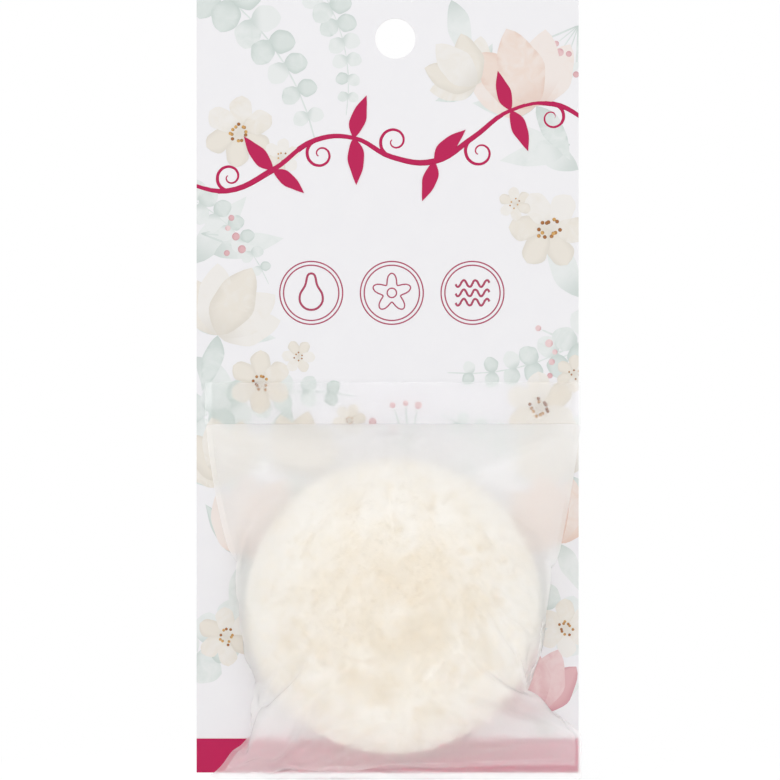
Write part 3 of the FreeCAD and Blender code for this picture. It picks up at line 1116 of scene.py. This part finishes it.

# %% [markdown]
# The bag is smoothed and subdivided, and a few sharp creases of handled film are raised on its front.
# It is then taken apart into its five pieces by the numbers on its faces. A panel gets its thickness
# away from the sponge, and a weld, which is both films, gets twice as much on both sides.

# %% The bag's pieces
CREASES = (
    ((5.4, -112.6), (23.5, -102.4)),
    ((26.5, -103.5), (31.0, -99.5)),
    ((-24.0, -150.0), (-33.5, -137.5)),
    ((14.0, -171.0), (20.5, -156.0)),
    ((-18.0, -170.0), (-24.5, -159.0)),
)
CREASE_HEIGHT = 0.35 * MM
CREASE_HALF = 0.9 * MM
RAISED_FRONT = 2 * MM
SMOOTH_ANGLE = math.radians(50)


def crease_films(bag):
    """Raises the sharp creases of handled film, as thin ridges between two places on the front."""
    for first, last in CREASES:
        start = Vector(first) * MM
        along = Vector(last) * MM - start
        for point in bag.data.vertices:
            offset = Vector((point.co.x, point.co.z)) - start
            way = offset.dot(along) / along.length_squared
            beside = (offset - along * way).length
            if point.co.y < weld_depth - RAISED_FRONT and 0 < way < 1 and beside < CREASE_HALF:
                point.co.y -= CREASE_HEIGHT * math.sin(math.pi * way) * (1 - beside / CREASE_HALF)


apply_modifier(bag, "SMOOTH", factor=0.4, iterations=2, vertex_group="pinned", invert_vertex_group=True)
apply_modifier(bag, "SUBSURF", levels=1, render_levels=1)
crease_films(bag)
film_pieces = {}
for number, name, node, thickness, offset in (
    (PANEL_FRONT, "film_front", "bag_front_panel", FILM, 1),
    (PANEL_BACK, "film_back", "bag_back_panel", FILM, -1),
    (LEFT_WELD, "film_left_weld", "bag_left_seam", 2 * FILM, 0),
    (RIGHT_WELD, "film_right_weld", "bag_right_seam", 2 * FILM, 0),
    (BOTTOM_WELD, "film_bottom_weld", "bag_bottom_seam", 2 * FILM, 0),
):
    piece = bag.copy()
    piece.data = bag.data.copy()
    piece.name = name
    bpy.context.collection.objects.link(piece)
    take(piece)
    kept = [value.value == number for value in piece.data.attributes["piece"].data]
    bpy.ops.object.mode_set(mode="EDIT")
    bpy.ops.mesh.select_mode(type="FACE")
    bpy.ops.mesh.select_all(action="DESELECT")
    bpy.ops.object.mode_set(mode="OBJECT")
    for face, keep in zip(piece.data.polygons, kept):
        face.select = not keep
    bpy.ops.object.mode_set(mode="EDIT")
    bpy.ops.mesh.delete(type="FACE")
    bpy.ops.object.mode_set(mode="OBJECT")
    apply_modifier(piece, "SOLIDIFY", thickness=thickness, offset=offset)
    bpy.ops.object.shade_smooth_by_angle(angle=SMOOTH_ANGLE)
    dress(piece, film)
    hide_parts(node)
    film_pieces[name] = piece
    print(name, len(piece.data.polygons), "faces")
bpy.data.objects.remove(bag)
for piece in film_pieces.values():
    if piece.name == "film_bottom_weld":
        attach(piece, "bag")
    else:
        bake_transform(piece)

# %% [markdown]
# ## The glued hem
#
# Above the crease the two films lie flat on a strip of clear transfer adhesive. The hem is one slab
# of both films, with the faint ripples along its length that a hand leaves when it presses film onto
# glue. The glue wets the card, so its slab reaches a little way into the board: with no air between
# them, the print shows through undimmed.

# %% Hem and adhesive
RIPPLE = 0.02 * MM
SOAK = 0.1 * MM
STREAKS = (60, 1, 900)
STREAK_DEPTH = 0.1 * MM


def flat_strip(name, low, high, back, thickness, ripple):
    """A thin slab over a box's width and height, from a back plane to the front, with ripples in it."""
    place = ((low.x + high.x) / 2, back, (low.z + high.z) / 2)
    strip = upright_grid(name, 88, 20, (high.x - low.x, high.z - low.z), place)
    for point in strip.data.vertices:
        up = (point.co.z - low.z) / MM
        along = (point.co.x - low.x) / MM
        wave = math.sin(3.1 * up + 0.8 * math.sin(0.13 * along)) * math.sin(0.21 * along + 0.5 * up)
        point.co.y += ripple * wave
    apply_modifier(strip, "SOLIDIFY", thickness=thickness, offset=1)
    bpy.ops.object.shade_smooth_by_angle(angle=SMOOTH_ANGLE)
    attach(strip, "card")
    return strip


hem = flat_strip("film_hem", hem_low, hem_high, hem_high.y - RIPPLE, 2 * FILM, RIPPLE)
dress(hem, glued_film)
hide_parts("bag_top_hem")
strip_low, strip_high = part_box("adhesive_strip")
glue_depth = strip_high.y - strip_low.y + SOAK
adhesive = flat_strip("glue_strip", strip_low, strip_high, strip_high.y + SOAK, glue_depth, 0.0)
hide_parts("adhesive_strip")

glue, tree, shader = new_material("clear_transfer_adhesive")
place = add_node(tree, "ShaderNodeTexCoord").outputs["Object"]
smear = add_node(tree, "ShaderNodeMapping", {"Vector": place, "Scale": STREAKS})
streak = add_node(tree, "ShaderNodeTexNoise", {"Vector": smear.outputs[0], "Scale": 1.0, "Detail": 3})
bump = add_node(
    tree, "ShaderNodeBump", {"Height": streak.outputs["Fac"], "Strength": 0.1, "Distance": STREAK_DEPTH}
)
set_inputs(shader, {
    "Base Color": colour("FEFEFD"),
    "Normal": bump.outputs[0],
    "Transmission Weight": 0.95,
    "Roughness": 0.12,
    "IOR": 1.47,
})
dress(adhesive, glue)
